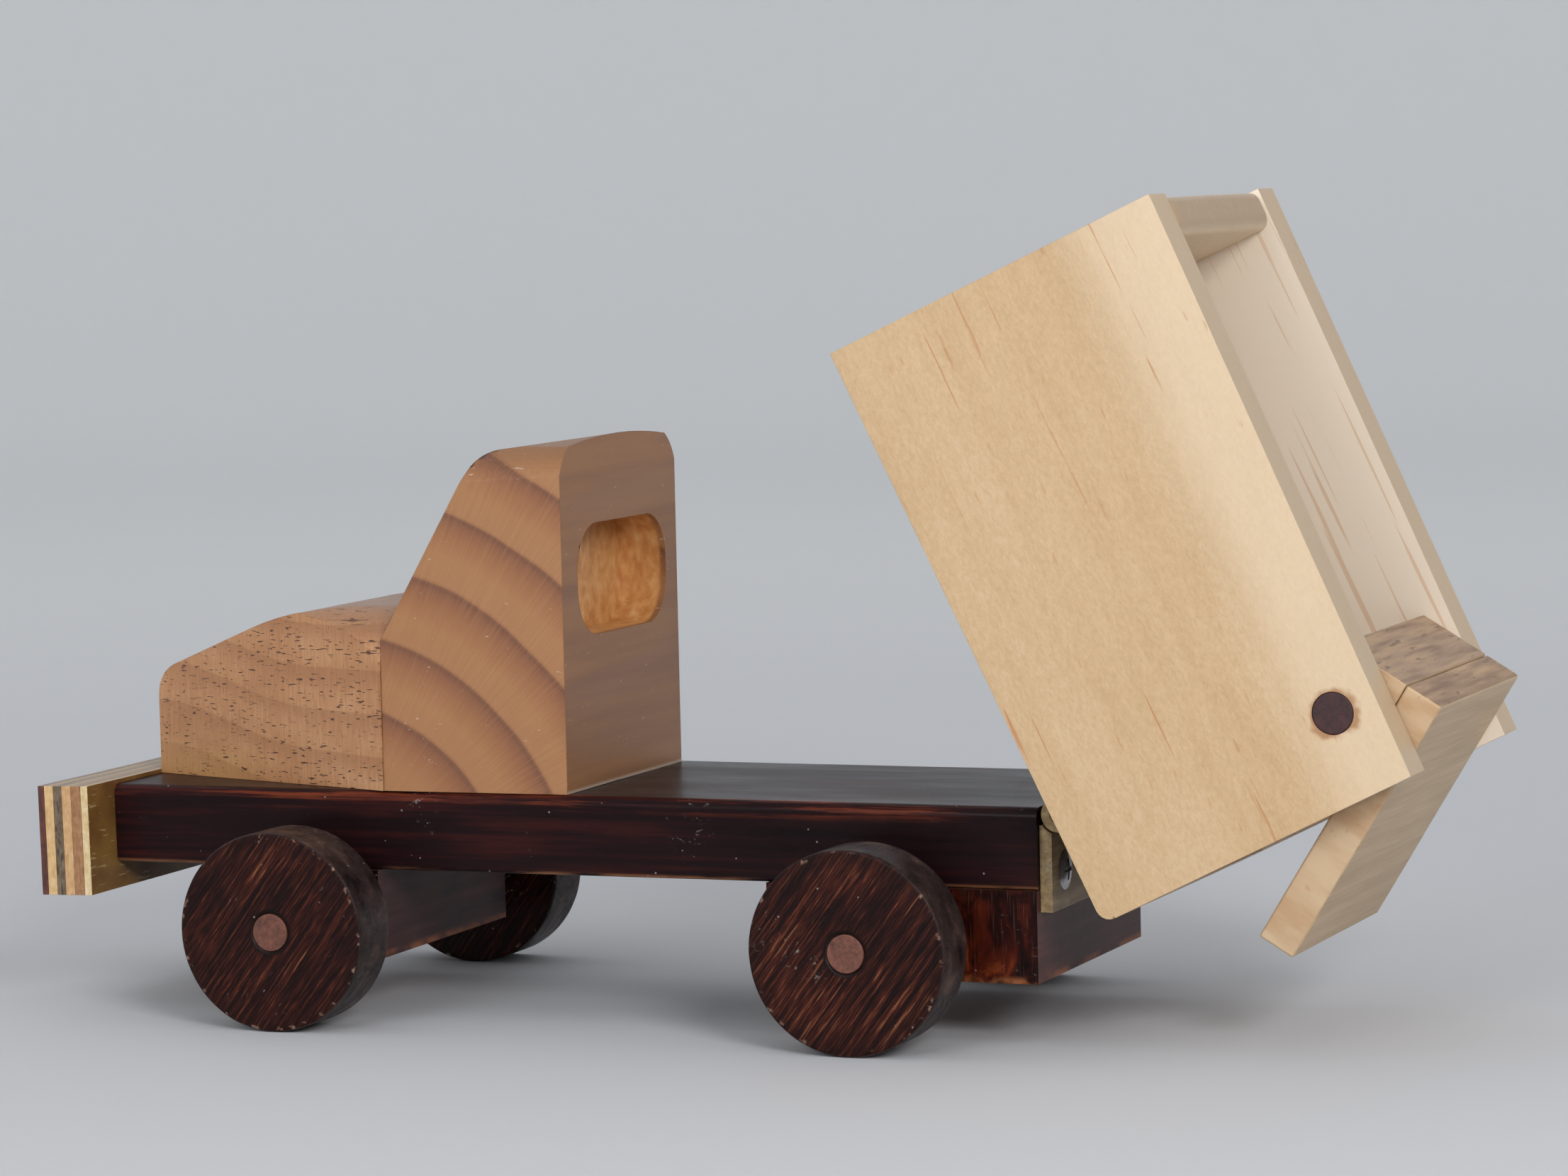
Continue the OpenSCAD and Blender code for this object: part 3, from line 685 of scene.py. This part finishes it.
block("rear_axle_block", UPRIGHT, dark_wood, edge=0.8, pitch=5, first=ease_block)
streaky_wood = wheel_wood()
end_wood = dowel_wood("axle_wood", UPRIGHT, "784737", "4e2a1f")
for end, place in (("front", FRONT_WHEELS), ("rear", REAR_WHEELS)):
    for side in ("left", "right"):
        block(f"wheel_{end}_{side}", place, streaky_wood, edge=0.9, pitch=4)
    block(f"{end}_axle", place, end_wood, edge=0.3, pitch=8, wear=0.05)
fixed_hinge_wood = hinge_wood("hinge_wood", UPRIGHT)
block("hinge_chassis_leaf", UPRIGHT, fixed_hinge_wood, edge=0.25, pitch=5, depth=0.04,
      wear=0.05)
block("hinge_bed_leaf", BED, hinge_wood("bed_hinge_wood", BED), edge=0.25, pitch=5,
      depth=0.04, wear=0.05)
block("hinge_pin", UPRIGHT, fixed_hinge_wood, edge=0.2, pitch=9, depth=0.02, wear=0.02)
honey_wood = bed_wood()
block("bed_floor", BED, honey_wood, edge=1.0, pitch=4)
for node in ("bed_side_left", "bed_side_right", "bed_headboard"):
    block(node, BED, honey_wood, edge=1.0, pitch=4, first=ease_bed)
block("tailgate_rod", BED, dowel_wood("rod_wood", BED, "452021", "240f11"), edge=0.3, pitch=9)
block("tailgate_plate", TAILGATE, tailgate_wood("tailgate_plate_wood", "98785a"), edge=0.8,
      pitch=4)
block("tailgate_bar", TAILGATE, tailgate_wood("tailgate_bar_wood", "a4866a"), edge=0.8,
      pitch=4)

steel = Paint("screws")
steel.shader.inputs["Metallic"].default_value = 1.0
brushed = steel.noise(steel.stretched(900, 900, 900), detail=3)
steel_material = steel.finish(
    steel.blend(brushed, (0.3, "a4a4a8"), (0.7, "bcbcbe")), 0.28)
for node in ("chassis_leaf_screws", "bed_leaf_screws"):
    frame["nodes"][node].data.materials.clear()
    frame["nodes"][node].data.materials.append(steel_material)


# ---------------------------------------------------------------- floor, light and camera

def direction(turn, rise):
    """From the truck to a light or camera `turn` degrees behind its left side and `rise` up."""
    a, e = math.radians(turn), math.radians(rise)
    return Vector((-math.sin(a) * math.cos(e), math.cos(a) * math.cos(e), math.sin(e)))


def floor():
    """A pale round floor that sweeps up far away from the truck."""
    shape = bmesh.new()
    flat_radius, sweep_radius, sweep_angle, steps = 2.4, 1.2, 80, 12
    profile = [(0.0, 0.0), (1.0, 0.0), (2.0, 0.0), (flat_radius, 0.0)]
    for k in range(1, steps + 1):
        angle = math.radians(sweep_angle * k / steps)
        profile.append((flat_radius + sweep_radius * math.sin(angle),
                        sweep_radius * (1 - math.cos(angle))))
    profile.append((4.0, 3.4))
    verts = [shape.verts.new((r, 0, z)) for r, z in profile]
    edges = [shape.edges.new(pair) for pair in zip(verts, verts[1:])]
    bmesh.ops.spin(
        shape, geom=verts + edges, cent=(0, 0, 0), axis=(0, 0, 1), angle=2 * math.pi,
        steps=96, use_merge=True)
    bmesh.ops.remove_doubles(shape, verts=shape.verts, dist=1e-5)
    bmesh.ops.recalc_face_normals(shape, faces=shape.faces)
    mesh = bpy.data.meshes.new("floor")
    shape.to_mesh(mesh)
    shape.free()
    mesh.transform(Matrix.Translation((0, 0, cad_box[0][2])))
    mesh.polygons.foreach_set("use_smooth", [True] * len(mesh.polygons))
    p = Paint("floor")
    # Painted light: the floor is darker near the truck and paler far off, evening out the lamps' pool of light and
    # brightening the backdrop.
    away = p.node("ShaderNodeVectorMath", {0: p.place}, operation="LENGTH").outputs["Value"]
    mesh.materials.append(p.finish(
        p.mix(p.spread(away, 0.2, 1.6), tint("cccdd0"), tint("e2e3e4")), 0.9, specular=0.2))
    piece = bpy.data.objects.new("floor", mesh)
    bpy.context.scene.collection.objects.link(piece)


def soft_light(name, turn, rise, distance, size, power):
    data = bpy.data.lights.new(name, "AREA")
    data.shape = "DISK"
    data.size = size
    data.energy = power
    light = bpy.data.objects.new(name, data)
    towards = direction(turn, rise)
    light.location = towards * distance + Vector((0, 0, 0.08))
    light.rotation_euler = towards.to_track_quat("Z", "Y").to_euler()
    bpy.context.scene.collection.objects.link(light)


def studio():
    world = bpy.data.worlds.new("studio")
    world.use_nodes = True
    tree = world.node_tree
    tree.nodes["Background"].inputs["Color"].default_value = (0.95, 0.97, 1.0, 1.0)
    way = tree.nodes.new("ShaderNodeTexCoord").outputs["Generated"]
    parts = tree.nodes.new("ShaderNodeSeparateXYZ")
    fade = tree.nodes.new("ShaderNodeMapRange")
    fade.inputs["To Min"].default_value = 1.12
    fade.inputs["To Max"].default_value = 0.62
    tree.links.new(way, parts.inputs[0])
    tree.links.new(parts.outputs["Z"], fade.inputs["Value"])
    tree.links.new(fade.outputs["Result"], tree.nodes["Background"].inputs["Strength"])
    bpy.context.scene.world = world
    soft_light("light_from_front", turn=-8, rise=20, distance=1.9, size=0.8, power=8)
    soft_light("light_from_rear", turn=42, rise=24, distance=1.9, size=0.6, power=15)
    bpy.context.scene.view_settings.view_transform = "Standard"


def camera():
    data = bpy.data.cameras.new("camera")
    data.lens = VIEW_LENS
    data.sensor_width = SENSOR_WIDTH
    data.sensor_fit = "HORIZONTAL"
    view = bpy.data.objects.new("camera", data)
    towards = direction(VIEW_TURN, VIEW_RISE)
    base = Vector(((cad_box[0][0] + cad_box[1][0]) / 2, (cad_box[0][1] + cad_box[1][1]) / 2,
                   cad_box[0][2]))
    view.location = base + VIEW_TARGET + towards * VIEW_DISTANCE
    level = towards.to_track_quat("Z", "Y").to_matrix().to_4x4()
    roll = Matrix.Rotation(math.radians(VIEW_ROLL), 4, "Z")
    view.rotation_euler = (level @ roll).to_euler()
    bpy.context.scene.collection.objects.link(view)
    bpy.context.scene.camera = view


floor()
studio()
camera()
